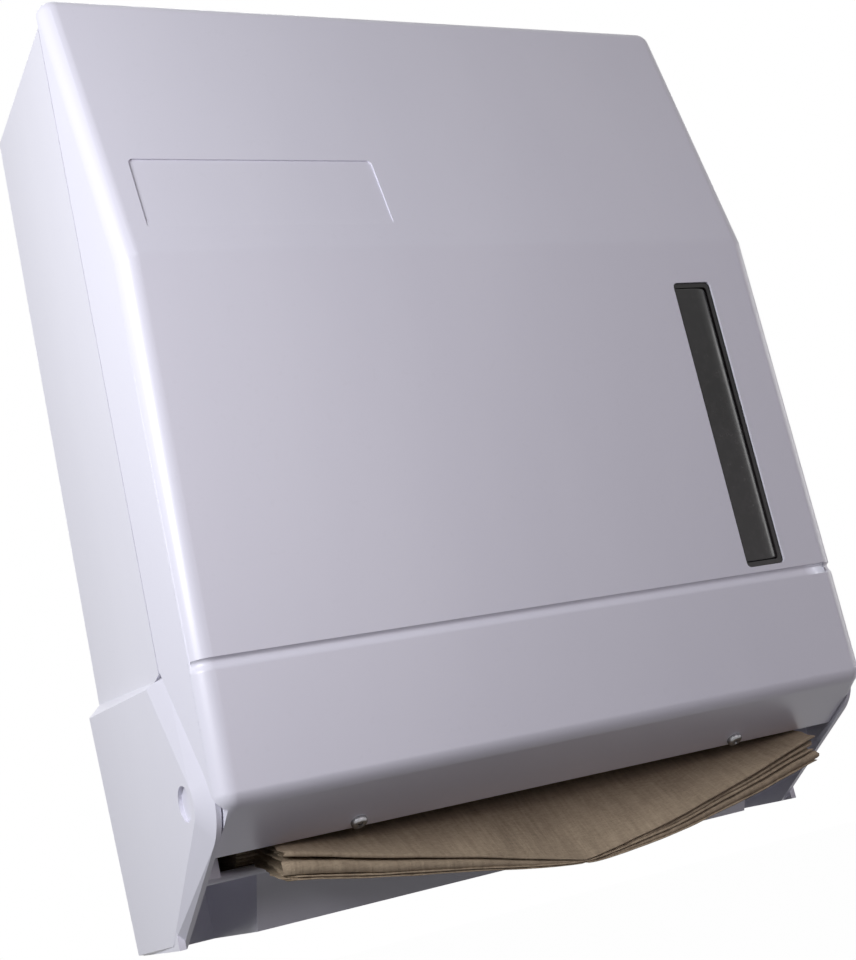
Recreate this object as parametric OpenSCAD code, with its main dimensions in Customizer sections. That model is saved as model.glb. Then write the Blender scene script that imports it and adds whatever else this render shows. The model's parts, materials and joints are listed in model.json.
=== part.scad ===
// Folded towel dispenser: wall base, bottom-hinged cover, cam lock and hanging towels

/* [Housing] */
// Width across the seam between base and cover
width = 280; // [250:1:310]
// Height of the top of the base above the datum line
base_height = 330; // [300:1:360]
// Depth of the base from wall to seam
base_depth = 86.5; // [82:0.5:100]
// Narrowing of each side of the base from seam to wall
side_draft = 3.3; // [1:0.1:5]
// Wall thickness of both mouldings
wall = 2.5; // [2:0.1:3]
// Gap along the seam
seam_gap = 0.6; // [0.4:0.1:1]

/* [Cover] */
// Rise of the cover top above the base top
cover_rise = 11.8; // [10:0.1:16]
// Greatest depth of the cover in front of the seam
cover_bulge = 30.2; // [28:0.1:36]
// Height of the crease between main face and upper slope
crease_height = 226.6; // [215:0.5:240]
// Narrowing of each side of the cover from seam to front
front_draft = 3.6; // [2:0.1:5]
// Radius of the upright front edges
edge_radius = 8; // [6:0.5:10]
// Width of the sloped top corners seen from the front
corner_width = 10.5; // [9:0.5:20]
// Height of the sloped top corners seen from the front
corner_drop = 8.5; // [7:0.5:11]
// Height of the groove across the front
groove_height = 84.2; // [75:0.1:87]
// Depth of the groove
groove_depth = 1.5; // [0.6:0.1:1.6]
// Width of the groove
groove_width = 4.4; // [3:0.1:6]
// Width of the badge recess
badge_width = 96.4; // [70:0.1:110]
// Depth of the badge recess at its upper edge
badge_depth = 0.6; // [0.4:0.1:1.2]

/* [Hinge] */
// Height of the hinge axis above the datum line
hinge_height = 43.9; // [43:0.1:46]
// Radius of the cheek nose round the hinge axis
nose_radius = 18; // [17:0.1:18.5]
// How far the cheek stands out from the seam width
cheek_proud = 1.4; // [1:0.1:3]
// Gap between cheek and cover
cheek_gap = 0.7; // [0.5:0.1:1]
// Radius of the hinge pins
pin_radius = 4; // [3:0.1:4.5]
// Running clearance round pins and lock plug
run_clear = 0.05; // [0.03:0.01:0.1]
// Widest opening angle of the cover
open_angle = 80; // [60:1:84]

/* [Window] */
// Width of the window slot
window_width = 19; // [14:0.5:24]
// Length of the window slot
window_length = 119.7; // [90:0.5:130]
// Distance of the window's middle from the side of the housing
window_inset = 37.9; // [34:0.1:60]
// Height of the window's lower end
window_height = 88.7; // [87:0.1:95]

/* [Lock] */
// Distance of the lock behind the seam
lock_set_back = 26.5; // [24:0.5:32]
// Radius of the lock barrel
barrel_radius = 8; // [7:0.1:9]
// Radius of the lock plug
plug_radius = 5.5; // [4.5:0.1:6]
// Length of the cam from the lock axis
cam_length = 34; // [30:0.5:38]

/* [Towels] */
// Width of a folded towel
towel_width = 234; // [210:1:242]
// Height of the stack that lies on the floor
stack_height = 65; // [60:1:66]
// Thickness of one folded towel
sheet_thickness = 0.3; // [0.2:0.1:0.8]
// Depth of the sag in the middle of the hanging towels
sag = 24.8; // [15:0.1:32]

/* [Wall fixing] */
// Distance between wall screws across
hole_spacing_x = 180; // [150:1:190]
// Distance between wall screws up the wall
hole_spacing_z = 150; // [120:1:160]
// Radius of the wall screw holes
hole_radius = 2.75; // [2:0.05:3.5]

/* [Hidden] */
$fn = 48;
eps = 0.01;
// Overrun of cuts past a face
over = 5;

white = [0.93, 0.93, 0.95];
smoke = [0.2, 0.19, 0.2];
kraft = [0.6, 0.5, 0.38];
steel = [0.72, 0.72, 0.74];

// Origin: middle of the wall screw pattern on the back face
mount_height = 195;

half = width / 2;
base_front = -base_depth + seam_gap / 2;
cover_rear = -base_depth - seam_gap / 2;
cover_top = base_height + cover_rise;
back_plate = 3;
// Lower edge of the base, seen from the datum line of the heights
lower_edge = -2;
floor_top = 20.7;
floor_under = floor_top - 2;
mouth_set_back = 25.5;
floor_front = -base_depth + mouth_set_back;
post_front = floor_front - 12;
post_inner = towel_width / 2 + 10.3;
post_top = floor_top + 9;
ledge_radius = 1.8;
apron_half = 110;
rib_pitch = 80;
rib_width = 2;
rib_depth = 4;
rib_short = 60;
apron_foot = floor_front + 11;
edge_foot = apron_foot + 5;

// Hinge and cheeks
hinge_y = -base_depth - 1.3;
cheek_inner = half - 5.8;
cheek_edge = cheek_inner + 1.8;
cheek_outer = half + cheek_proud;
cheek_lean = 2.8;
cheek_top = 2 * hinge_height;
face_radius = nose_radius - 9;
face_foot = [apron_foot + 6.5, lower_edge + 1.7];
face_corner = [hinge_y + 13.5, cheek_top - 3];
bevel_end = 1.8;
recess_radius = pin_radius + 2;
pin_seat = cheek_outer - 4;
pin_head = 1.2;
ear_outer = cheek_inner - 0.6;
ear_inner = ear_outer - 6.5;
ear_radius = pin_radius + 5;
pin_inner = ear_inner - 1;
room_rear = 20;

// Cover profile, from the top down, as sharp corners
top_edge = [-base_depth - 4.7, cover_top];
crease = [-base_depth - cover_bulge, crease_height];
low_edge = [-base_depth - cover_bulge + 3.2, hinge_height - 4.1];
lip_drop = 18.8;
lip = [-base_depth - 2, hinge_height - lip_drop];
top_radius = 4;
front_radius = 7;
low_radius = 7;
lip_radius = 1.3;
groove_wrap = 62;

// Slot and recess places along the faces of the cover
main_tilt = atan2(low_edge[0] - crease[0], crease[1] - low_edge[1]);
slope_tilt = -atan2(top_edge[0] - crease[0], top_edge[1] - crease[1]);
under_tilt = atan2(low_edge[1] - lip[1], lip[0] - low_edge[0]);
window_x = half - window_inset;
window_start = window_height - low_edge[1];
seat_clear = 0.15;
window_fit = 0.2;
window_sunk = 1.9;
window_field = 2.2;
field_sunk = 0.4;
window_flange = 1.5;
window_lap = 2.5;
badge_start = 10.2;
badge_height = 31;
badge_left = -half + 16.2;
badge_ramp = 4;
badge_shallow = badge_depth - 0.15;
badge_proud = 0.05;

// Strip inside the underside and its screws, measured from the lip
guide_half = towel_width / 2 + 5;
guide_length = 22;
guide_thick = 1.6;
guide_boss = 3.5;
guide_boss_height = 4;
screw_x = 82;
screw_along = 3.3;
screw_radius = 1.5;
screw_head_radius = 3;
screw_head = 1.8;
screw_length = wall + guide_thick + guide_boss_height - 1;

// Cam lock
lock_y = -base_depth + lock_set_back;
bay_half = barrel_radius + 10;
bay_under = base_height - 10;
bay_rear = lock_y + barrel_radius + 4;
tab_half = bay_half + 6;
tab_under = cover_top - wall;
tab_rear = bay_rear + 4;
rim_top = tab_under - 0.8;
rim_half = half - corner_width - 1.5;
barrel_length = 20;
barrel_under = cover_top - barrel_length;
head_height = 2;
head_radius = barrel_radius + 2;
nut_height = 4.2;
nut_radius = barrel_radius + 4.6;
plug_under = barrel_under - 1.5;
cam_thick = 2.5;
cam_root = 8;
cam_half = 5;
shank_half = 3;
shank_under = plug_under - cam_thick - 0.2;
keeper_near = bay_half + 4;
keeper_far = cam_length + 2;
keeper_gap = 1.5;
keeper_under = shank_under - 5;

// Hanging towels
towel_half = towel_width / 2;
stack_set_back = 22;
stack_low_front = hinge_y + stack_set_back;
stack_low_edge = hinge_height - 13;
stack_step_foot = hinge_height + 4;
stack_step_top = hinge_height + 20;
mouth_y = stack_low_front - 0.3;
sheet_reach = 29.4;
edge_y = mouth_y - sheet_reach;
mouth_z = stack_low_edge + sheet_thickness;
edge_end_z = lip[1] - 4.1;
pitch_mid = sheet_thickness + 0.15;
pitch_end = sheet_thickness + 1.7;
lead_clear = 0.15;
sheet_columns = 20;
sheet_rows = 5;
stack_rest = 0.2;
stack_rear = -back_plate - 6;
stack_front = hinge_y + 3.8;

// Half width of the base at depth y, and of the cover in front of the seam
function base_half(y) = half - side_draft * (1 + y / base_depth);
function cover_half(y) = half - front_draft * (-y - base_depth) / cover_bulge;

// Centre of a rounding of radius r at corner b of the profile a, b, c
function unit(v) = v / norm(v);
function inward(a, b) = let (t = unit(b - a)) [-t[1], t[0]];
function round_centre(a, b, c, r) =
    let (m = inward(a, b), n = inward(b, c)) b + r * (m + n) / (1 + m * n);

// Upper face of hanging sheet k, s from the mouth to the front edge
function sheet_edge(x) = edge_end_z - sag * (1 - pow(abs(x) / towel_half, 1.1));
function sheet_pitch(x) = pitch_mid + (pitch_end - pitch_mid) * abs(x) / towel_half;
function sheet_drop(x, k) = k * sheet_pitch(x) + (k == 4 ? lead_clear : 0);
function sheet_z(x, s, k) = mouth_z + (sheet_edge(x) - mouth_z) * s - sheet_drop(x, k);

module at_mount() {
    translate([0, 0, -mount_height]) children();
}

// Moves a drawing in the plane (y, z) to x and extrudes it outward by h
module side_slab(x, h) {
    translate([x, 0, 0]) rotate([90, 0, 90]) linear_extrude(h) children();
}

module both_sides() {
    children();
    mirror([1, 0, 0]) children();
}

// Cylinder along X round the hinge axis
module hinge_rod(r, x0, x1) {
    translate([x0, hinge_y, hinge_height]) rotate([0, 90, 0]) cylinder(r = r, h = x1 - x0);
}

module rounded_rect(w, h, r) {
    translate([r, 0]) square([w - 2 * r, h]);
    translate([0, r]) square([w, h - 2 * r]);
    for (x = [r, w - r], y = [r, h - r]) translate([x, y]) circle(r);
}

// Local frames: X along the part, Z up along the face, Y into the part
module on_main_face() {
    translate([0, low_edge[0], low_edge[1]]) rotate([main_tilt, 0, 0]) children();
}

module on_slope() {
    translate([0, crease[0], crease[1]]) rotate([slope_tilt, 0, 0]) children();
}

// Frame on the underside: Y along it towards the lip, Z into the part
module on_underside() {
    translate([0, lip[0], lip[1]]) rotate([-under_tilt, 0, 0]) children();
}

// Outline of the base in plan, drawn in by t
module base_plan(t, rear, front) {
    polygon([[-base_half(rear) + t, rear], [base_half(rear) - t, rear],
             [base_half(front) - t, front], [-base_half(front) + t, front]]);
}

// Solid cheek with its bevel: edge line by the cover, smaller outer face
module cheek() {
    lean = atan2(cheek_lean, cheek_top);
    hull() {
        hinge_rod(nose_radius, cheek_inner, cheek_edge);
        side_slab(cheek_inner, cheek_edge - cheek_inner)
            polygon([[0, lower_edge], [0, cheek_top + 5], [base_front, cheek_top],
                     [edge_foot, lower_edge]]);
        // Upper end of the bevel beside the seam
        side_slab(cheek_edge, bevel_end)
            polygon([[base_front, cheek_top], [base_front + 1, cheek_top], [base_front + 1, cheek_top - 1]]);
        translate([cheek_outer, 0, cheek_top]) rotate([0, lean, 0]) translate([-cheek_outer, 0, -cheek_top]) {
            hinge_rod(face_radius, cheek_outer - eps, cheek_outer);
            side_slab(cheek_outer - eps, eps)
                polygon([[0, lower_edge + 0.5], [0, cheek_top], face_corner, face_foot]);
        }
    }
}

module base_shell() {
    difference() {
        intersection() {
            translate([0, 0, lower_edge]) linear_extrude(base_height + over) base_plan(0, 0, base_front);
            side_slab(-width, 2 * width)
                polygon([[0, lower_edge], [0, base_height], [base_front, base_height + 1],
                         [base_front, cheek_top], [apron_foot, hinge_height], [apron_foot, lower_edge]]);
        }
        // Corners of the side walls that the bevels of the cheeks cut away
        both_sides() side_slab(cheek_edge, 2 * over)
            polygon([[base_front - 1, cheek_top], face_corner, [face_corner[0], hinge_height],
                     [base_front - 1, hinge_height]]);
        translate([0, 0, floor_top]) linear_extrude(base_height - wall - floor_top)
            base_plan(wall, -back_plate, base_front - over);
        translate([0, 0, lower_edge - 1]) linear_extrude(floor_under - lower_edge + 1)
            base_plan(wall, -back_plate, base_front - over);
    }
}

module base_floor() {
    translate([0, 0, floor_under]) linear_extrude(floor_top - floor_under)
        base_plan(wall / 2, -back_plate / 2, floor_front);
    // Rounded ledge along the mouth
    translate([-cheek_inner, floor_front, floor_top - ledge_radius]) rotate([0, 90, 0])
        cylinder(r = ledge_radius, h = 2 * cheek_inner);
    both_sides() translate([post_inner, post_front, floor_under])
        cube([cheek_inner + eps - post_inner, floor_front + 8 - post_front, post_top - floor_under]);
    side_slab(-apron_half, 2 * apron_half)
        polygon([[floor_front, floor_top], [floor_front, floor_under], [apron_foot, lower_edge],
                 [apron_foot + wall, lower_edge], [floor_front + wall, floor_under]]);
    both_sides() side_slab(apron_half - wall, wall)
        polygon([[-back_plate / 2, floor_under + eps], [floor_front + eps, floor_under + eps],
                 [apron_foot + eps, lower_edge], [-back_plate / 2, lower_edge]]);
}

module wall_holes(r, y0, y1) {
    for (x = [-1, 1], z = [-1, 1])
        translate([x * hole_spacing_x / 2, y1, mount_height + z * hole_spacing_z / 2])
            rotate([90, 0, 0]) cylinder(r = r, h = y1 - y0);
}

module rear_base() {
    color(white) at_mount() difference() {
        union() {
            base_shell();
            base_floor();
            both_sides() cheek();
            wall_holes(8, -back_plate - 2, -back_plate + eps);
            // Ribs that keep the towels off the back plate
            for (i = [-1.5:1.5])
                translate([i * rib_pitch - rib_width / 2, -back_plate - rib_depth, floor_top - eps])
                    cube([rib_width, rib_depth + eps, base_height - rib_short]);
            // Rim that fills the rise of the cover behind the seam
            translate([-rim_half, base_front, base_height - wall])
                cube([2 * rim_half, wall, rim_top - base_height + wall]);
            // Keeper rib in front of the cam
            translate([-keeper_far, lock_y - cam_half - keeper_gap - 3, keeper_under])
                cube([keeper_far - keeper_near, 3, base_height - wall + eps - keeper_under]);
        }
        wall_holes(hole_radius, -back_plate - 3, 1);
        // Bay for the lock barrel, open to the front
        translate([-bay_half, base_front - over, bay_under])
            cube([2 * bay_half, bay_rear - base_front + over, rim_top + over - bay_under]);
        both_sides() {
            hinge_rod(pin_radius + run_clear, cheek_inner - 10, cheek_outer);
            hinge_rod(recess_radius, pin_seat, cheek_outer + over);
        }
    }
}

module hinge_pin() {
    hinge_rod(pin_radius, pin_inner, pin_seat + pin_head);
    hinge_rod(recess_radius - run_clear, pin_seat, pin_seat + pin_head);
}

module hinge_pin_right() {
    color(white) at_mount() hinge_pin();
}

module hinge_pin_left() {
    color(white) at_mount() mirror([1, 0, 0]) hinge_pin();
}

// Rounded cover block, drawn in by t; the inner one runs on past the rear
module cover_block(t) {
    run_on = t > 0 ? 14 : 0;
    rear_point = [cover_rear, cover_top];
    top_c = round_centre(rear_point, top_edge, crease, front_radius);
    crease_c = round_centre(top_edge, crease, low_edge, edge_radius);
    low_c = round_centre(crease, low_edge, lip, low_radius);
    along = unit(lip - low_edge);
    lip_c = lip + run_on * along + (t + lip_radius) * inward(low_edge, lip);
    // Middles of the two roundings of a sloped top corner, from the side and from the top
    corner = [[corner_width, top_radius], [top_radius, corner_drop]];
    rear_half = cover_half(cover_rear + run_on) - t;
    hull() both_sides() {
        for (c = corner) translate([rear_half + t - c[0], cover_rear + run_on, cover_top - c[1]])
            rotate([90, 0, 0]) cylinder(r = top_radius - t, h = eps, $fn = 32);
        translate([cover_half(top_c[0]) - front_radius, top_c[0], top_c[1]])
            sphere(r = front_radius - t, $fn = 32);
        translate([cover_half(crease_c[0]) - edge_radius, crease_c[0], crease_c[1]])
            sphere(r = edge_radius - t, $fn = 32);
        translate([cover_half(low_c[0]) - low_radius, low_c[0], low_c[1]])
            sphere(r = low_radius - t, $fn = 32);
        translate([cover_half(lip_c[0]) - t - lip_radius, lip_c[0], lip_c[1]])
            sphere(r = lip_radius, $fn = 16);
        translate([rear_half - 1, cover_rear + run_on - eps, lip_c[1] + 2]) cube([1, eps, 1]);
    }
}

// Room for one cheek while the cover swings, grown by the wall that is left round it
module cheek_room(grow) {
    r = nose_radius + cheek_gap + grow;
    swing = 61.3 - open_angle;
    low = [hinge_y - r * cos(swing), hinge_height - r * sin(swing)]
          + 70 * [sin(swing), -cos(swing)];
    roof = cheek_top + 1 + grow;
    side_slab(ear_outer - grow, 3 * over) hull() {
        translate([hinge_y, hinge_height]) circle(r);
        polygon([[cover_rear + room_rear, roof], [cover_rear, roof],
                 low, [cover_rear + room_rear, low[1]]]);
    }
}

module cover_tab() {
    translate([-tab_half, top_edge[0] + top_radius, tab_under])
        linear_extrude(wall) rounded_rect(2 * tab_half, tab_rear - top_edge[0] - top_radius, 4);
}

// Plate of the window, wider than the slot by left on its left and by rest on the other sides
module window_plate(left, rest, y0, y1) {
    translate([window_x - window_width / 2 - left, y1, window_start - rest]) rotate([90, 0, 0])
        linear_extrude(y1 - y0) rounded_rect(window_width + left + rest, window_length + 2 * rest, 2);
}

// Round-bottomed groove across the main face, led round both upright edges
module front_groove() {
    bore = (pow(groove_depth, 2) + pow(groove_width / 2, 2)) / (2 * groove_depth);
    climb = (groove_height - low_edge[1]) / (crease_height - low_edge[1]);
    turn = low_radius + (edge_radius - low_radius) * climb;
    reach = cover_half(low_edge[0] + turn) - turn;
    ring = turn + bore - groove_depth;
    on_main_face() translate([0, turn, (groove_height - low_edge[1]) / cos(main_tilt)]) {
        translate([-reach, -ring, 0]) rotate([0, 90, 0]) cylinder(r = bore, h = 2 * reach);
        both_sides() translate([reach, 0, 0]) rotate([0, 0, -90]) {
            rotate_extrude(angle = groove_wrap) translate([ring, 0]) circle(bore);
            rotate([0, 0, groove_wrap]) translate([ring, 0, 0]) sphere(bore);
        }
    }
}

// Badge recess, whose floor ramps out to nothing at its lower end
module badge_recess() {
    on_slope() translate([badge_left, 0, badge_start]) intersection() {
        translate([0, over, 0]) rotate([90, 0, 0])
            linear_extrude(2 * over) rounded_rect(badge_width, badge_height, 2);
        side_slab(-eps, badge_width + 2 * eps)
            polygon([[-badge_proud, 0], [badge_shallow, badge_ramp], [badge_depth, badge_height + eps],
                     [-over, badge_height + eps], [-over, 0]]);
    }
}

module front_cover() {
    color(white) at_mount() difference() {
        union() {
            difference() {
                cover_block(0);
                difference() {
                    cover_block(wall);
                    both_sides() cheek_room(wall);
                }
                both_sides() cheek_room(0);
                // Flat rear edge along the seam
                translate([-width, cover_rear, 0]) cube([2 * width, base_depth, 2 * base_height]);
            }
            cover_tab();
            both_sides() hinge_rod(ear_radius, ear_inner, ear_outer);
        }
        both_sides() hinge_rod(pin_radius + run_clear, ear_inner - over, ear_outer + over);
        on_main_face() window_plate(0, 0, -over, wall + 1);
        front_groove();
        badge_recess();
        on_underside() for (x = [-screw_x, screw_x]) translate([x, -screw_along, -1])
            cylinder(r = screw_radius + 0.2, h = wall + 2);
        translate([0, lock_y, tab_under - over]) cylinder(r = barrel_radius + 0.1, h = wall + 2 * over);
    }
}

module level_window() {
    color(smoke) at_mount() on_main_face() {
        window_plate(window_lap, window_lap, wall + seat_clear, wall + window_flange);
        window_plate(-window_fit, -window_fit, window_sunk, wall + seat_clear + eps);
        window_plate(-window_fit, -window_field, field_sunk, wall);
    }
}

module outlet_guide() {
    color(white) at_mount() on_underside() difference() {
        union() {
            translate([-guide_half, -guide_length, wall + seat_clear])
                cube([2 * guide_half, guide_length, guide_thick]);
            for (x = [-screw_x, screw_x]) translate([x, -screw_along, wall + seat_clear])
                cylinder(r = guide_boss, h = guide_thick + guide_boss_height);
        }
        for (x = [-screw_x, screw_x]) translate([x, -screw_along, wall - 1])
            cylinder(r = screw_radius + run_clear, h = guide_thick + guide_boss_height);
    }
}

// Pan head screw from below, with a cross recess
module outlet_screw(x) {
    on_underside() translate([x, -screw_along, 0]) difference() {
        union() {
            cylinder(r = screw_radius, h = screw_length);
            translate([0, 0, -screw_head])
                cylinder(r1 = screw_head_radius - 0.7, r2 = screw_head_radius, h = 0.8);
            translate([0, 0, -screw_head + 0.8]) cylinder(r = screw_head_radius, h = screw_head - 0.8);
        }
        for (a = [0, 90]) rotate([0, 0, a]) translate([-1.7, -0.35, -screw_head - 1]) cube([3.4, 0.7, 2]);
    }
}

module outlet_screw_left() {
    color(steel) at_mount() outlet_screw(-screw_x);
}

module outlet_screw_right() {
    color(steel) at_mount() outlet_screw(screw_x);
}

module lock_barrel() {
    color(steel) at_mount() translate([0, lock_y, 0]) difference() {
        union() {
            translate([0, 0, barrel_under]) cylinder(r = barrel_radius, h = cover_top - barrel_under);
            translate([0, 0, cover_top]) cylinder(r = head_radius, h = head_height);
        }
        translate([0, 0, barrel_under - 1])
            cylinder(r = plug_radius + run_clear, h = cover_top + head_height - barrel_under + 2);
    }
}

module lock_nut() {
    color(steel) at_mount() translate([0, lock_y, tab_under - nut_height]) difference() {
        cylinder(r = nut_radius, h = nut_height, $fn = 6);
        translate([0, 0, -1]) cylinder(r = barrel_radius + run_clear, h = nut_height + 2);
    }
}

module lock_plug() {
    color(steel) at_mount() translate([0, lock_y, 0]) difference() {
        union() {
            translate([0, 0, plug_under])
                cylinder(r = plug_radius, h = cover_top + head_height - 0.4 - plug_under);
            translate([-shank_half, -shank_half, shank_under])
                cube([2 * shank_half, 2 * shank_half, plug_under - shank_under + eps]);
        }
        translate([-0.6, -3.5, cover_top + head_height - 8]) cube([1.2, 7, 10]);
        translate([0, 0, shank_under - 1]) cylinder(r = screw_radius + run_clear, h = 9);
    }
}

// Points to the wall when unlocked
module lock_cam() {
    color(steel) at_mount() translate([0, lock_y, plug_under - cam_thick]) difference() {
        union() {
            cylinder(r = cam_root, h = cam_thick);
            translate([-cam_half, 0, 0]) cube([2 * cam_half, cam_length - cam_half, cam_thick]);
            translate([0, cam_length - cam_half, 0]) cylinder(r = cam_half, h = cam_thick);
        }
        translate([-shank_half - run_clear, -shank_half - run_clear, -1])
            cube([2 * (shank_half + run_clear), 2 * (shank_half + run_clear), cam_thick + 2]);
    }
}

module lock_cam_screw() {
    color(steel) at_mount() translate([0, lock_y, shank_under]) {
        cylinder(r = screw_radius, h = 7);
        translate([0, 0, -2.2]) cylinder(r = shank_half + 2.5, h = 2.2);
    }
}

// Stack lies behind the path of the lip, and leans over it higher up
module towel_stack() {
    foot = floor_top + stack_rest;
    color(kraft) at_mount() side_slab(-towel_half, towel_width)
        polygon([[stack_rear, foot], [floor_front + 1, foot], [stack_low_front, stack_low_edge],
                 [stack_low_front, stack_step_foot], [stack_front, stack_step_top],
                 [stack_front, foot + stack_height], [stack_rear, foot + stack_height]]);
}

// One hanging towel, a thin sheet between an upper and a lower net of points
module sheet(k) {
    n = sheet_columns + 1;
    m = sheet_rows + 1;
    points = [for (side = [0, 1], j = [0:sheet_rows], i = [0:sheet_columns])
        let (x = -towel_half + towel_width * i / sheet_columns, s = j / sheet_rows)
            [x, mouth_y + (edge_y - mouth_y) * s, sheet_z(x, s, k) - side * sheet_thickness]];
    quads = [for (j = [0:m - 2], i = [0:n - 2])
        let (a = j * n + i) [a, a + 1, a + n + 1, a + n]];
    upper = [for (q = quads, t = [0, 1]) t == 0 ? [q[0], q[1], q[2]] : [q[0], q[2], q[3]]];
    lower = [for (f = upper) [f[2] + n * m, f[1] + n * m, f[0] + n * m]];
    ring = concat([for (i = [0:n - 1]) i], [for (j = [1:m - 1]) j * n + n - 1],
                  [for (i = [n - 2:-1:0]) (m - 1) * n + i], [for (j = [m - 2:-1:1]) j * n]);
    count = len(ring);
    rim = [for (i = [0:count - 1], t = [0, 1])
        let (a = ring[i], b = ring[(i + 1) % count])
            t == 0 ? [b, a, a + n * m] : [b, a + n * m, b + n * m]];
    polyhedron(points = points, faces = concat(upper, lower, rim));
}

module hanging_towel_1() {
    color(kraft) at_mount() sheet(0);
}

module hanging_towel_2() {
    color(kraft) at_mount() sheet(1);
}

module hanging_towel_3() {
    color(kraft) at_mount() sheet(2);
}

module hanging_towel_4() {
    color(kraft) at_mount() sheet(3);
}

module lead_towel() {
    color(kraft) at_mount() sheet(4);
}

rear_base();
hinge_pin_left();
hinge_pin_right();
towel_stack();
hanging_towel_1();
hanging_towel_2();
hanging_towel_3();
hanging_towel_4();
lead_towel();
front_cover();
level_window();
outlet_guide();
outlet_screw_left();
outlet_screw_right();
lock_barrel();
lock_nut();
lock_plug();
lock_cam();
lock_cam_screw();
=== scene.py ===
"""Folded towel dispenser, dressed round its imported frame."""

import json
import math
import random

import bmesh
import bpy
from mathutils import Matrix, Vector, noise

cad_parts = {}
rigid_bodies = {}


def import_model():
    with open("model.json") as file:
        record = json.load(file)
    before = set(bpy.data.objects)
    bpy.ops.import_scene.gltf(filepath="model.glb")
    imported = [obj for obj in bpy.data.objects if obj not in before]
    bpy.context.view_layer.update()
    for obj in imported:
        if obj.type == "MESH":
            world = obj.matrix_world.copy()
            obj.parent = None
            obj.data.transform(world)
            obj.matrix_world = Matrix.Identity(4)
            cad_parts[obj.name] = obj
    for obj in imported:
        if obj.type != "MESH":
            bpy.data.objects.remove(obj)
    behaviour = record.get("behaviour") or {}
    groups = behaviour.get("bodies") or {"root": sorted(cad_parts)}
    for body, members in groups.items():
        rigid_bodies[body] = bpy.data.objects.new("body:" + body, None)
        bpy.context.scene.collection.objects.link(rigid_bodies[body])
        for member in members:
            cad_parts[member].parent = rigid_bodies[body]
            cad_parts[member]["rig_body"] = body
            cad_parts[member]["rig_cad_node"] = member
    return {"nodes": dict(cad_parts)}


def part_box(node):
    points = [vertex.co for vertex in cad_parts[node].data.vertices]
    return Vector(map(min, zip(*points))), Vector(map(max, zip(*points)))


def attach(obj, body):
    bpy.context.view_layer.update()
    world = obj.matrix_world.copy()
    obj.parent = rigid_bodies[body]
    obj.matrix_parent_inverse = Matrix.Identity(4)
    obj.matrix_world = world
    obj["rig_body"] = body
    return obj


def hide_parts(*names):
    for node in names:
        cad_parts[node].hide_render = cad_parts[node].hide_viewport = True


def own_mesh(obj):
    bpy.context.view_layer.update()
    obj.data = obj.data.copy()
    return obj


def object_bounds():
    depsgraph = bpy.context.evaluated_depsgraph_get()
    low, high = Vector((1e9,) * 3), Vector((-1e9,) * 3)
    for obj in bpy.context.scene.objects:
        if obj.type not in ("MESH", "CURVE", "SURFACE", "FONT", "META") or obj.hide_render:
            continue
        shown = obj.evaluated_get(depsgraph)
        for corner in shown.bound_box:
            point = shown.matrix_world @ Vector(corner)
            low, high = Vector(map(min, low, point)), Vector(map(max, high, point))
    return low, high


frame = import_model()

cad_low, cad_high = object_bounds()
nodes = frame["nodes"]

# Sizes in metres
mm = 0.001
wall = 2.5 * mm


def height(z):
    """Row height of a place that lies z millimetres above the datum line."""
    return (z - 195) * mm


# Selecting and finishing, as by hand
def nothing():
    """Leaves edit mode and selects no piece."""
    if bpy.context.mode != "OBJECT":
        bpy.ops.object.mode_set(mode="OBJECT")
    bpy.ops.object.select_all(action="DESELECT")


def only(piece):
    """Selects one piece and makes it the active one."""
    nothing()
    piece.select_set(True)
    bpy.context.view_layer.objects.active = piece


def begin_edit(piece):
    only(piece)
    bpy.ops.object.mode_set(mode="EDIT")
    bpy.ops.mesh.select_all(action="DESELECT")


def end_edit():
    bpy.ops.object.mode_set(mode="OBJECT")


def pick(piece, kind, test):
    """Selects the vertices, edges or faces that pass the test."""
    bpy.ops.mesh.select_mode(type=kind)
    bpy.ops.mesh.select_all(action="DESELECT")
    mesh = bmesh.from_edit_mesh(piece.data)
    mesh.normal_update()
    items = {"VERT": mesh.verts, "EDGE": mesh.edges, "FACE": mesh.faces}[kind]
    for item in items:
        item.select_set(bool(test(item)))
    mesh.select_flush_mode()
    bmesh.update_edit_mesh(piece.data)


def along(edge, axis):
    """True for an edge that runs along one axis."""
    span = edge.verts[1].co - edge.verts[0].co
    return abs(span[axis]) > 0.99 * span.length


def apply_modifier(piece, kind, **settings):
    only(piece)
    modifier = piece.modifiers.new(kind.title(), kind)
    for name, value in settings.items():
        setattr(modifier, name, value)
    bpy.ops.object.modifier_apply(modifier=modifier.name)


def settle(piece, place):
    """Puts a piece in its place and moves the place into its mesh."""
    only(piece)
    piece.matrix_world = place @ piece.matrix_world
    bpy.ops.object.transform_apply(location=True, rotation=True, scale=True)


def join(pieces):
    """Joins pieces into the first of them."""
    nothing()
    for piece in pieces:
        piece.select_set(True)
    bpy.context.view_layer.objects.active = pieces[0]
    bpy.ops.object.join()
    return pieces[0]


def push(shift):
    """Extrudes the selected faces by a shift."""
    bpy.ops.mesh.extrude_region_move(TRANSFORM_OT_translate={"value": shift})


def smooth(piece, degrees):
    """Shades a piece smooth, apart from edges sharper than an angle."""
    only(piece)
    bpy.ops.object.shade_smooth_by_angle(angle=math.radians(degrees))


def coat(piece, finish):
    piece.data.materials.clear()
    piece.data.materials.append(finish)


def dress(piece, finish, body, node):
    """Gives a piece its finish and body, and hides the solid that it stands for."""
    coat(piece, finish)
    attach(piece, body)
    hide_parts(node)


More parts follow.
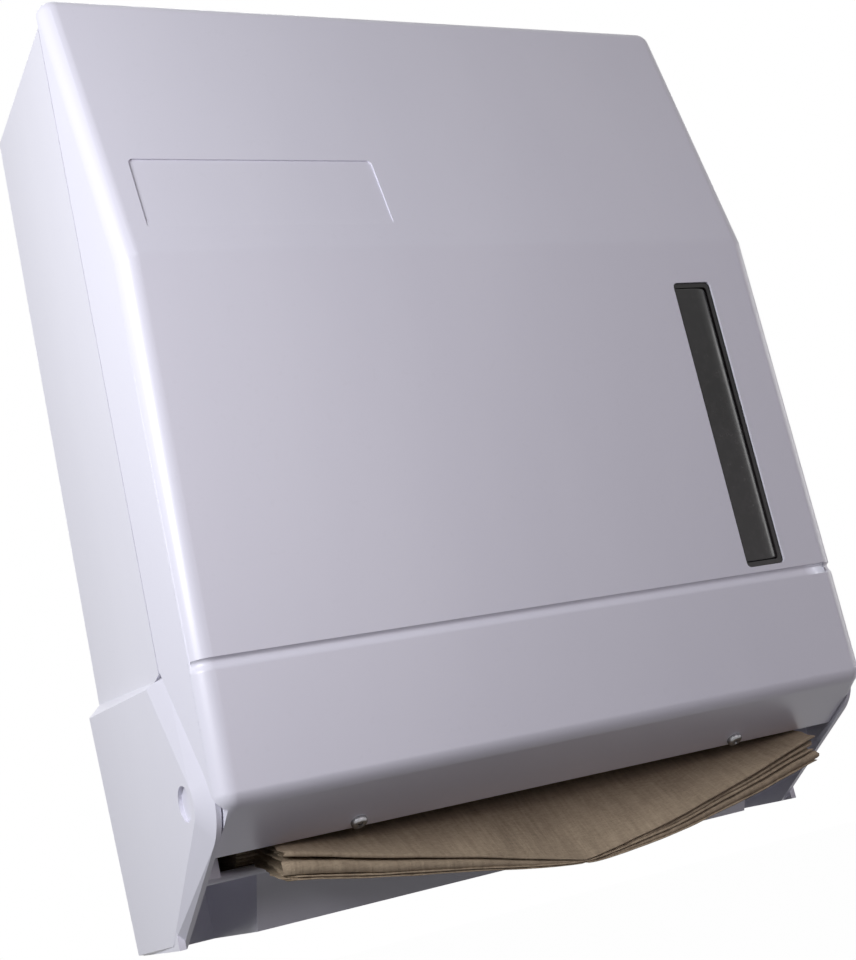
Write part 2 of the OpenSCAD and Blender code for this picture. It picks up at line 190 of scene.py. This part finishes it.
# Finishes
class Wire:
    """A shader socket; sums and products of sockets add their Math nodes."""

    def __init__(self, tree, socket=None):
        self.tree = tree
        self.socket = socket

    def add(self, kind, settings, sockets, out=0):
        """Adds a node: its settings first, then the values or links of its sockets."""
        node = self.tree.nodes.new(kind)
        for name, value in settings.items():
            if name == "stops":
                ramp = node.color_ramp
                while len(ramp.elements) < len(value):
                    ramp.elements.new(0.5)
                for element, (place, tone) in zip(ramp.elements, value):
                    element.position = place
                    element.color = (tone, tone, tone, 1)
            else:
                setattr(node, name, value)
        for name, value in sockets.items():
            target = node.inputs[name]
            if isinstance(value, Wire):
                self.tree.links.new(value.socket, target)
            elif target.type == "RGBA" and len(value) == 3:
                target.default_value = (*value, 1)
            else:
                target.default_value = value
        return Wire(self.tree, node.outputs[out] if len(node.outputs) else None)

    def math(self, operation, a, b):
        return self.add("ShaderNodeMath", {"operation": operation}, {0: a, 1: b})

    def __add__(self, other):
        return self.math("ADD", self, other)

    __radd__ = __add__

    def __sub__(self, other):
        return self.math("SUBTRACT", self, other)

    def __mul__(self, other):
        return self.math("MULTIPLY", self, other)

    __rmul__ = __mul__

    def most(self, other):
        return self.math("MAXIMUM", self, other)

    def blend(self, low, high):
        """Mixes two colours by this value."""
        settings = {"data_type": "RGBA"}
        return self.add("ShaderNodeMix", settings, {0: self, 6: low, 7: high}, 2)

    def ramp(self, *stops):
        """Grey ramp through stops of place and tone."""
        return self.add("ShaderNodeValToRGB", {"stops": stops}, {"Fac": self})

    def axis(self, name):
        return self.add("ShaderNodeSeparateXYZ", {}, {"Vector": self}, name)

    def stretch(self, scale):
        return self.add("ShaderNodeMapping", {}, {"Vector": self, "Scale": scale})

    def noise(self, scale, detail=2.0, roughness=0.5, distortion=0.0):
        sockets = {"Vector": self, "Scale": scale, "Detail": detail,
                   "Roughness": roughness, "Distortion": distortion}
        return self.add("ShaderNodeTexNoise", {}, sockets)

    def cells(self, scale):
        return self.add("ShaderNodeTexVoronoi", {}, {"Vector": self, "Scale": scale})

    def ray(self, kind):
        return self.add("ShaderNodeLightPath", {}, {}, f"Is {kind} Ray")

    def bump(self, depth, strength):
        return self.add("ShaderNodeBump", {}, {"Height": self, "Distance": depth, "Strength": strength})


def new_finish(name):
    """An empty material and its object coordinates."""
    finish = bpy.data.materials.new(name)
    finish.use_nodes = True
    finish.node_tree.nodes.clear()
    wire = Wire(finish.node_tree)
    return finish, wire.add("ShaderNodeTexCoord", {}, {}, "Object")


def close_finish(place, sockets):
    """Ends a material with its Principled shader."""
    shader = place.add("ShaderNodeBsdfPrincipled", {}, sockets)
    place.add("ShaderNodeOutputMaterial", {}, {"Surface": shader})


def moulded_white():
    """Satin white plastic with a fine spark-eroded grain and faint flow marks."""
    finish, place = new_finish("moulded_white")
    flow = place.stretch((1, 1, 0.35)).noise(14, 3, 0.55)
    grain = place.noise(2600, 2, 0.6)
    pits = place.cells(900).ramp((0.0, 1.0), (0.5, 0.0))
    speck = place.noise(420, 1).ramp((0.66, 0.0), (0.74, 1.0))
    tone = flow.ramp((0.35, 0.0), (0.65, 1.0)).blend((0.775, 0.765, 0.85), (0.80, 0.79, 0.872))
    tone = (speck * 0.05).blend(tone, (0.60, 0.59, 0.63))
    rough = 0.26 + 0.08 * grain + 0.05 * flow
    normal = (grain * 0.7 + pits * 0.3).bump(0.00005, 0.35)
    close_finish(place, {"Base Color": tone, "Roughness": rough, "Normal": normal, "IOR": 1.5})
    return finish


def smoked_clear():
    """Dark smoked plastic, polished, with fine draw lines and dust, and lighter towards its lower end.
    """
    finish, place = new_finish("smoked_clear")
    lines = place.stretch((1, 1, 0.02)).noise(700, 2, 0.6)
    dust = place.noise(300, 3, 0.6).ramp((0.45, 0.0), (0.8, 1.0))
    # Lighter towards the bottom of the window
    fade = (place.axis("Z") * -13.0 - 0.4).ramp((0.0, 0.0), (1.0, 1.0))
    tone = (dust * 0.2 + lines * 0.1 + fade * 0.5).blend((0.004, 0.003, 0.0033), (0.06, 0.054, 0.055))
    rough = 0.16 + 0.12 * dust + 0.06 * lines
    normal = lines.bump(0.00006, 0.25)
    close_finish(place, {"Base Color": tone, "Roughness": rough, "Normal": normal, "IOR": 1.49,
                         "Specular IOR Level": 0.35})
    return finish


def kraft_crepe():
    """Brown recycled paper: crepe ridges from front to back, fibres and flecks."""
    light = (0.50, 0.40, 0.28)
    dark = (0.24, 0.186, 0.13)
    finish, place = new_finish("kraft_crepe")
    crepe = place.stretch((1, 0.12, 0.12)).noise(620, 3, 0.55, 0.4)
    fine = place.stretch((1, 0.4, 0.4)).noise(2400, 2, 0.6)
    fibre = place.stretch((0.25, 1, 1)).noise(1500, 2, 0.7)
    cloud = place.noise(45, 3, 0.5)
    fleck = place.cells(420).ramp((0.0, 1.0), (0.16, 0.0))
    pale = place.stretch((1.3, 0.8, 1.0)).cells(350).ramp((0.0, 1.0), (0.12, 0.0))
    tone = (crepe * 0.35 + fibre * 0.35 + cloud * 0.3).ramp((0.3, 0.0), (0.7, 1.0)).blend(dark, light)
    tone = (fleck * 0.45).blend(tone, tuple(0.35 * c for c in dark))
    tone = (pale * 0.35).blend(tone, tuple(min(1.0, 1.5 * c) for c in light))
    rough = 0.82 + 0.12 * fine
    normal = (crepe * 0.7 + fine * 0.3).bump(0.0005, 0.9)
    close_finish(place, {"Base Color": tone, "Roughness": rough, "Normal": normal,
                         "Specular IOR Level": 0.25})
    return finish


def zinc_steel():
    """Zinc plated steel, slightly dulled, with turning marks and stains."""
    finish, place = new_finish("zinc_steel")
    marks = place.stretch((1, 1, 6)).noise(1500, 2, 0.6)
    stain = place.noise(260, 3, 0.6)
    tone = stain.ramp((0.35, 0.0), (0.7, 1.0)).blend((0.26, 0.26, 0.27), (0.36, 0.36, 0.375))
    rough = 0.26 + 0.14 * stain + 0.08 * marks
    normal = marks.bump(0.00003, 0.3)
    close_finish(place, {"Base Color": tone, "Roughness": rough, "Metallic": 1.0, "Normal": normal})
    return finish


white = moulded_white()
smoke = smoked_clear()
kraft = kraft_crepe()
steel = zinc_steel()


def leaning(y, z, back, rise):
    """Frame of a face that starts at y, z and leans back by so much over its rise."""
    return Matrix.Translation((0, y, z)) @ Matrix.Rotation(math.atan2(back, rise), 4, "X")


# Main face of the cover, from its lower edge up, and its underside, from the lip forward
main_face = leaning(-113.5 * mm, height(39.8), 3.2, 186.8)
underside = leaning(-88.5 * mm, height(25.1), -14.7, 25.0)


def ease_groove(piece):
    """Turns the round groove into one that falls gently from below to a steep upper side."""
    up = 44.4 * mm
    half = 2.2 * mm
    cut = 1.6 * mm
    deepest = 1.0 * mm
    reach = 130.4 * mm
    turn = 7.24 * mm
    slack = 0.01 * mm
    away = main_face.inverted()

    def in_groove(place):
        """Whether a place is in the groove, its level between the sides, its depth and the way in."""
        spot = away @ place
        inward = Vector((0, turn - spot.y, 0))
        inward.x = -math.copysign(max(0.0, abs(spot.x) - reach), spot.x)
        level = (spot.z - up) / half
        depth = turn - inward.length
        inside = abs(level) < 1.02 and -slack < depth < cut and spot.y < turn
        return inside, level, depth, inward.normalized()

    begin_edit(piece)
    pick(piece, "EDGE", lambda e: along(e, 0) and e.calc_length() > reach
         and all(in_groove(v.co)[0] for v in e.verts))
    bpy.ops.mesh.subdivide(number_cuts=24)
    end_edit()
    for vertex in piece.data.vertices:
        inside, level, depth, inward = in_groove(vertex.co)
        if inside and depth > slack:
            # The curve's highest value is 32 / 27
            share = max(0.0, (1 + level) ** 2 * (1 - level) * 27 / 32)
            vertex.co = main_face @ (away @ vertex.co + (deepest * share - depth) * inward)


# Housing
def moulding(node, name, body, edge, crisp):
    """A merged copy of a moulded solid, whose edges sharper than crisp degrees are eased."""
    weld = 0.005 * mm
    level = math.radians(0.6)
    only(nodes[node])
    bpy.ops.object.duplicate()
    piece = bpy.context.object
    piece.name = name
    piece.parent = None
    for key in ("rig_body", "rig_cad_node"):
        del piece[key]
    begin_edit(piece)
    bpy.ops.mesh.select_all(action="SELECT")
    bpy.ops.mesh.remove_doubles(threshold=weld)
    bpy.ops.mesh.dissolve_limited(angle_limit=level)
    end_edit()
    ease_groove(piece)
    apply_modifier(piece, "BEVEL", width=edge, segments=2, limit_method="ANGLE",
                   angle_limit=math.radians(crisp), use_clamp_overlap=True)
    smooth(piece, crisp + 2)
    apply_modifier(piece, "WEIGHTED_NORMAL", keep_sharp=True, weight=60)
    dress(piece, white, body, node)


moulding("front_cover", "cover_moulding", "cover", 0.35 * mm, 32)
moulding("rear_base", "base_moulding", "base", 0.6 * mm, 16)


# Level window: a pillowed field beside a rim, with a flange behind the cover
near = 0.1 * mm


def window_block(low, high):
    """A block of the window between two corners, left in edit mode."""
    nothing()
    bpy.ops.mesh.primitive_cube_add(size=1, location=(Vector(low) + Vector(high)) / 2)
    block = bpy.context.object
    block.scale = Vector(high) - Vector(low)
    bpy.ops.object.transform_apply(location=True, rotation=True, scale=True)
    begin_edit(block)
    return block


def window_rim(left, right, foot, top, behind):
    """The plate in the slot: a rim round a shallow recess, and the flange behind."""
    level = 0.8 * mm
    corner = 1.8 * mm
    recess = 1.0 * mm
    flange = 1.35 * mm
    lap = 2.7 * mm
    edge = 0.12 * mm
    rim_right = 1.8 * mm
    rim_ends = 3.4 * mm
    wide = right - left
    long = top - foot
    middle = Vector(((left + right) / 2, behind, (foot + top) / 2))
    plate = window_block((left, level, foot), (right, behind, top))
    pick(plate, "EDGE", lambda e: along(e, 1))
    bpy.ops.mesh.bevel(offset=corner, segments=6, affect="EDGES")
    pick(plate, "FACE", lambda f: f.normal.y > 0.9)
    push((0, 0, 0))
    grow = ((wide + 2 * lap) / wide, 1, (long + 2 * lap) / long)
    bpy.ops.transform.resize(value=grow, center_override=middle)
    push((0, flange, 0))
    pick(plate, "FACE", lambda f: f.normal.y < -0.9 and f.calc_center_median().y < level + near)
    bpy.ops.mesh.inset(thickness=edge)
    shrink = ((wide - rim_right) / wide, 1, (long - rim_ends) / long)
    bpy.ops.transform.resize(value=shrink, center_override=(left, level, middle.z))
    push((0, recess, 0))
    end_edit()
    return plate


def window_field(left, right, foot, top, behind):
    """The smoked field, flat beside its left edge and rounded off to the right."""
    crown = 0.15 * mm
    radius = 16 * mm
    rounded = 6.4 * mm
    end_ease = 0.9 * mm
    field = window_block((left, crown, foot), (right, behind, top))
    pick(field, "EDGE", lambda e: along(e, 0))
    bpy.ops.mesh.subdivide(number_cuts=41)
    for vertex in bmesh.from_edit_mesh(field.data).verts:
        past = vertex.co.x - (right - rounded)
        if past > 0 and vertex.co.y < behind - near:
            vertex.co.y += radius - math.sqrt(radius ** 2 - past ** 2)
    bmesh.update_edit_mesh(field.data)
    for end in (foot, top):
        pick(field, "EDGE", lambda e: all(
            abs(v.co.z - end) < 0.1 * near and v.co.y < behind - near for v in e.verts))
        bpy.ops.mesh.bevel(offset=end_ease, segments=4, affect="EDGES")
    end_edit()
    return field


def window_pane():
    left = 92.8 * mm
    right = 111.4 * mm
    foot = 49.1 * mm
    top = 168.4 * mm
    seat = 0.15 * mm
    rim = 2.1 * mm
    behind = wall + seat
    plate = window_rim(left, right, foot, top, behind)
    field = window_field(left + seat, right - rim, foot + rim, top - rim, behind)
    pane = join([plate, field])
    pane.name = "window_pane"
    smooth(pane, 35)
    settle(pane, main_face)
    dress(pane, smoke, "cover", "level_window")


window_pane()


# Pan head screws in the underside
def cut_slot(screw, deep, angle):
    """Cuts one slot of the cross, narrower at its bottom, into the head."""
    nothing()
    bpy.ops.mesh.primitive_cube_add(size=1, location=(0, 0, -deep))
    slot = bpy.context.object
    slot.scale = (3.5 * mm, 0.8 * mm, 2.0 * mm)
    slot.rotation_euler.z = math.radians(angle)
    bpy.ops.object.transform_apply(location=True, rotation=True, scale=True)
    begin_edit(slot)
    pick(slot, "FACE", lambda f: f.normal.z > 0.9)
    bpy.ops.transform.resize(value=(0.6, 0.6, 1), center_override=(0, 0, 0))
    end_edit()
    apply_modifier(screw, "BOOLEAN", object=slot, operation="DIFFERENCE", solver="EXACT")
    bpy.data.objects.remove(slot)


def pan_head_screw(name, across, turn):
    """A domed head with a cross and a plain shank, set in the underside."""
    head = 3 * mm
    tall = 1.8 * mm
    dome = 1.25 * mm
    shoulder = 1.5 * mm
    shank = 7.1 * mm
    from_lip = 3.3 * mm
    nothing()
    bpy.ops.mesh.primitive_cylinder_add(vertices=48, radius=head, depth=tall, location=(0, 0, -tall / 2))
    screw = bpy.context.object
    screw.name = name
    begin_edit(screw)
    pick(screw, "EDGE", lambda e: all(v.co.z < 0 for v in e.verts) and not along(e, 2))
    bpy.ops.mesh.bevel(offset=dome, segments=6, profile=0.55, affect="EDGES")
    pick(screw, "FACE", lambda f: f.normal.z > 0.9)
    bpy.ops.mesh.inset(thickness=shoulder)
    push((0, 0, shank))
    end_edit()
    for angle in (0, 90):
        cut_slot(screw, tall, angle)
    smooth(screw, 35)
    settle(screw, underside @ Matrix.Translation((across, -from_lip, 0)) @ Matrix.Rotation(turn, 4, "Z"))
    return screw


screw_across = 82 * mm
for side, name, turn in ((-1, "outlet_screw_left", 0.5), (1, "outlet_screw_right", 1.1)):
    screw = pan_head_screw(name + "_head", side * screw_across, turn)
    dress(screw, steel, "cover", name)


# Hanging towels: folded plies that fan out to both ends
towel_half = 117 * mm
towel_low, towel_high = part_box("hanging_towel_1")
mouth_y = towel_high.y
mouth_z = towel_high.z
front_y = towel_low.y
paper = 0.1 * mm
pitch_mid = 0.23 * mm
fold_mid = 0.12 * mm

# Front edge: height in the middle, height and bow at the left end, -1, and at the right end, 1
edge_low = height(-3.8)
edge_end = {-1: height(23), 1: height(21)}
bow = {-1: 0.95, 1: 1.25}

# Drop, fold opening, missing length at both ends and set-back of each towel, in millimetres
drop_end = {-1: [0, 3.1, 8.4, 9.0, 9.5], 1: [0, 2.0, 4.3, 5.8, 9.2]}
fold_end = {-1: [1.7, 4.6, 0.3, 0.25, 0.25], 1: [0.9, 1.1, 0.6, 2.9, 0.4]}
short_end = {-1: [4.4, 3.6, 5.2, 3.0, 4.4], 1: [-0.6, 0.9, 2.2, 0.2, 1.4]}
set_back = [0.0, 0.7, 0.2, 0.9, 0.4]


def side_of(x):
    return -1 if x < 0 else 1


def fan(x):
    """How far the towels have spread, from 0 in the middle to 1 at an end."""
    return min(1.0, abs(x) / towel_half) ** 0.65


def fold_opening(number, x):
    """How far the two plies of one towel stand apart at x."""
    return fold_mid + (fold_end[side_of(x)][number] * mm - fold_mid) * fan(x)


def ply_height(number, x, s):
    """Height of a towel's upper ply, s from the mouth to the front edge."""
    wave = 0.5 * mm
    wave_length = 0.03
    share = min(1.0, abs(x) / towel_half)
    edge = edge_low + (edge_end[side_of(x)] - edge_low) * share ** bow[side_of(x)]
    edge += wave * noise.noise((x / wave_length, 0, 0)) * min(1.0, 4 * share)
    drop = number * pitch_mid
    drop += (drop_end[side_of(x)][number] * mm - drop) * fan(x)
    return mouth_z + (edge - mouth_z) * s - drop


def torn_end(number, u, t):
    """Place across the mouth, shorter and ragged towards both ends."""
    ragged_depth = 1.9 * mm
    sound = 0.9
    end = max(0.0, (abs(u) - sound) / (1 - sound))
    x = u * towel_half - side_of(u) * short_end[side_of(u)][number] * mm * end
    ragged = noise.noise((11 * t, 3.1 * number, 0)) + 0.6 * noise.noise((47 * t, 5.3 * number, 1))
    return x + ragged_depth * ragged * end


def fold_front(number, u, x):
    """Front of a towel's fold, uneven along it and curled back at the left end."""
    uneven = 0.3
    uneven_length = 0.004
    curl_start = 0.95
    curl_back = 1.6
    curl_uneven = 1.2
    curl_length = 0.0015
    front = set_back[number] + uneven * noise.noise((x / uneven_length, 0.6, 2.3 * number))
    curl = max(0.0, (-u - curl_start) / (1 - curl_start))
    curl *= curl_back + curl_uneven * noise.noise((x / curl_length, 0, number))
    return front_y + front * mm + curl * mm


def towel_place(number, u, t):
    """A place on a towel: u from left to right, t along the upper ply, the fold and the lower ply."""
    upper = 0.44
    lower = 0.56
    crease = 0.25 * mm
    crease_length = 0.012
    x = torn_end(number, u, t)
    front = fold_front(number, u, x)
    gap = fold_opening(number, x)
    if t <= upper:
        s = t / upper
        y = mouth_y + (front - mouth_y) * s
        z = ply_height(number, x, s)
    elif t >= lower:
        s = (1 - t) / (1 - lower)
        y = mouth_y + (front - mouth_y) * s
        z = ply_height(number, x, s) - gap * (0.4 + 0.6 * s)
    else:
        turn = math.pi * (t - upper) / (lower - upper)
        y = front - 0.35 * gap * math.sin(turn)
        z = ply_height(number, x, 1) - 0.5 * gap * (1 - math.cos(turn))
        s = 1
    z += crease * s * fan(x) * noise.noise((x / crease_length, 3 * s, 4.7 * number))
    return x, y, z


def folded_towel(name, number):
    nothing()
    bpy.ops.mesh.primitive_grid_add(x_subdivisions=170, y_subdivisions=40, size=2)
    towel = bpy.context.object
    towel.name = name
    for vertex in towel.data.vertices:
        vertex.co = towel_place(number, vertex.co.x, (vertex.co.y + 1) / 2)
    apply_modifier(towel, "SOLIDIFY", thickness=paper, offset=0)
    smooth(towel, 50)
    return towel


towel_names = ["hanging_towel_1", "hanging_towel_2", "hanging_towel_3", "hanging_towel_4", "lead_towel"]
for number, node in enumerate(towel_names):
    towel = folded_towel(node + "_paper", number)
    dress(towel, kraft, "next_towel" if node == "lead_towel" else "base", node)
    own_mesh(towel)


# Stack of folded towels on the floor of the housing
def stack_front(z):
    """Front of the stack at a height in millimetres above the datum line."""
    steps = [(20.9, -60.0), (30.9, -65.8), (47.9, -65.8), (63.9, -84.0), (85.9, -84.0)]
    for (low, a), (high, b) in zip(steps, steps[1:]):
        if z <= high:
            return (a + (b - a) * (z - low) / (high - low)) * mm
    return steps[-1][1] * mm


def stack_layer(thick):
    """One layer of the stack, 1 m deep, with a round fold in front and cuts across."""
    nothing()
    bpy.ops.mesh.primitive_cube_add(size=1, location=(0, -0.5, 0))
    pattern = bpy.context.object
    pattern.scale = (2 * towel_half, 1, 0.92 * thick)
    bpy.ops.object.transform_apply(location=True, rotation=True, scale=True)
    begin_edit(pattern)
    pick(pattern, "EDGE", lambda e: along(e, 0) and e.verts[0].co.y < -0.9)
    bpy.ops.mesh.bevel(offset=0.42 * thick, segments=3, affect="EDGES")
    pick(pattern, "EDGE", lambda e: along(e, 0))
    bpy.ops.mesh.subdivide(number_cuts=17)
    end_edit()
    return pattern


def folded_stack():
    """Layers that follow the front of the stack, each a little out of line."""
    layers = 52
    low = 20.9
    tall = 65.0 / layers
    rear = -9 * mm
    narrow = 0.994
    out_of_line = 0.7 * mm
    wave_depth = 0.25 * mm
    rng = random.Random(4)
    pattern = stack_layer(tall * mm)
    sheets = []
    for layer in range(layers):
        sheet = pattern.copy()
        sheet.data = pattern.data.copy()
        bpy.context.scene.collection.objects.link(sheet)
        middle = low + (layer + 0.5) * tall
        front = max(stack_front(middle - tall / 2), stack_front(middle + tall / 2))
        front += rng.uniform(0.1, 0.9) * mm
        slide = rng.uniform(-1, 1) * out_of_line
        for vertex in sheet.data.vertices:
            x, y, z = vertex.co
            fold = y + 1
            wave = noise.noise((x * 40, layer * 0.7, 0)) * wave_depth
            y_new = front + fold + abs(wave) if y < -0.5 else rear + y - rng.uniform(0, 0.1) * mm
            vertex.co = (x * narrow + slide, y_new, height(middle) + z)
        sheets.append(sheet)
    bpy.data.objects.remove(pattern)
    stack = join(sheets)
    stack.name = "towel_stack_folds"
    smooth(stack, 40)
    return stack


dress(folded_stack(), kraft, "base", "towel_stack")


# Solids whose shape is right keep their shape
plain = {"hinge_pin_left": white, "hinge_pin_right": white, "outlet_guide": white, "lock_barrel": steel,
         "lock_nut": steel, "lock_plug": steel, "lock_cam": steel, "lock_cam_screw": steel}
for node, finish in plain.items():
    coat(nodes[node], finish)


# Stage: pale floor, soft boxes and a white surround
def pale_floor():
    """A wide floor below the part that looks white and keeps a faint shadow."""
    wide = 8
    below = 0.25
    nothing()
    bpy.ops.mesh.primitive_plane_add(size=wide, location=(0, 0, cad_low.z - below))
    floor = bpy.context.object
    floor.name = "pale_floor"
    finish, place = new_finish("pale_floor")
    seen = place.ray("Camera").most(place.ray("Glossy"))
    matt = place.add("ShaderNodeBsdfDiffuse", {}, {"Color": (0.16, 0.16, 0.165)})
    glow = place.add("ShaderNodeEmission", {}, {"Color": (1, 1, 1), "Strength": 1.02})
    shader = place.add("ShaderNodeMixShader", {}, {0: seen * 0.97, 1: matt, 2: glow})
    place.add("ShaderNodeOutputMaterial", {}, {"Surface": shader})
    floor.data.materials.append(finish)


def soft_box(name, spot, target, size, power, tint):
    """A square lamp at a spot, turned to its target."""
    lamp = bpy.data.lights.new(name, "AREA")
    lamp.size = size
    lamp.energy = power
    lamp.color = tint
    box = bpy.data.objects.new(name, lamp)
    box.location = spot
    box.rotation_euler = (Vector(target) - Vector(spot)).to_track_quat("-Z", "Y").to_euler()
    bpy.context.scene.collection.objects.link(box)


def surround():
    """White where it is seen, dim where it lights the part."""
    world = bpy.data.worlds.new("surround")
    world.use_nodes = True
    world.node_tree.nodes.clear()
    wire = Wire(world.node_tree)
    seen = wire.ray("Camera").most(wire.ray("Glossy")).most(wire.ray("Transmission"))
    dim = wire.add("ShaderNodeBackground", {}, {"Color": (0.96, 0.97, 1.0), "Strength": 0.03})
    pale = wire.add("ShaderNodeBackground", {}, {"Color": (1, 1, 1), "Strength": 1.0})
    shader = wire.add("ShaderNodeMixShader", {}, {0: seen, 1: dim, 2: pale})
    wire.add("ShaderNodeOutputWorld", {}, {"Surface": shader})
    bpy.context.scene.world = world


pale_floor()
surround()
soft_box("key_box", (-0.58, -0.37, 0.13), (0, -0.08, 0), 0.3, 3.8, (0.95, 0.96, 1.0))
soft_box("front_box", (0.28, -1.20, 0.10), (0, -0.08, 0), 0.6, 1.7, (1.0, 0.87, 0.96))
soft_box("right_box", (1.15, -0.28, 0.1), (0.1, -0.11, -0.05), 0.5, 2.4, (1, 1, 1))
soft_box("back_box", (0.25, 0.95, 0.85), (0, 0, 0), 0.6, 8.0, (1, 1, 1))


def photo_camera():
    """The camera that was fitted to the photograph, by its axes and its place."""
    right = Vector((0.87204, -0.43652, -0.22136))
    above = Vector((0.09095, -0.29987, 0.94964))
    back = Vector((-0.48091, -0.84825, -0.22180))
    lens = bpy.data.cameras.new("photo_camera")
    lens.lens = 58.353
    lens.sensor_width = 36
    camera = bpy.data.objects.new("photo_camera", lens)
    turn = Matrix((right, above, back)).transposed().to_4x4()
    spot = Vector((-0.30537, -0.58524, -0.18084))
    camera.matrix_world = Matrix.Translation(spot) @ turn
    bpy.context.scene.collection.objects.link(camera)
    bpy.context.scene.camera = camera


photo_camera()
bpy.context.scene.view_settings.view_transform = "Standard"
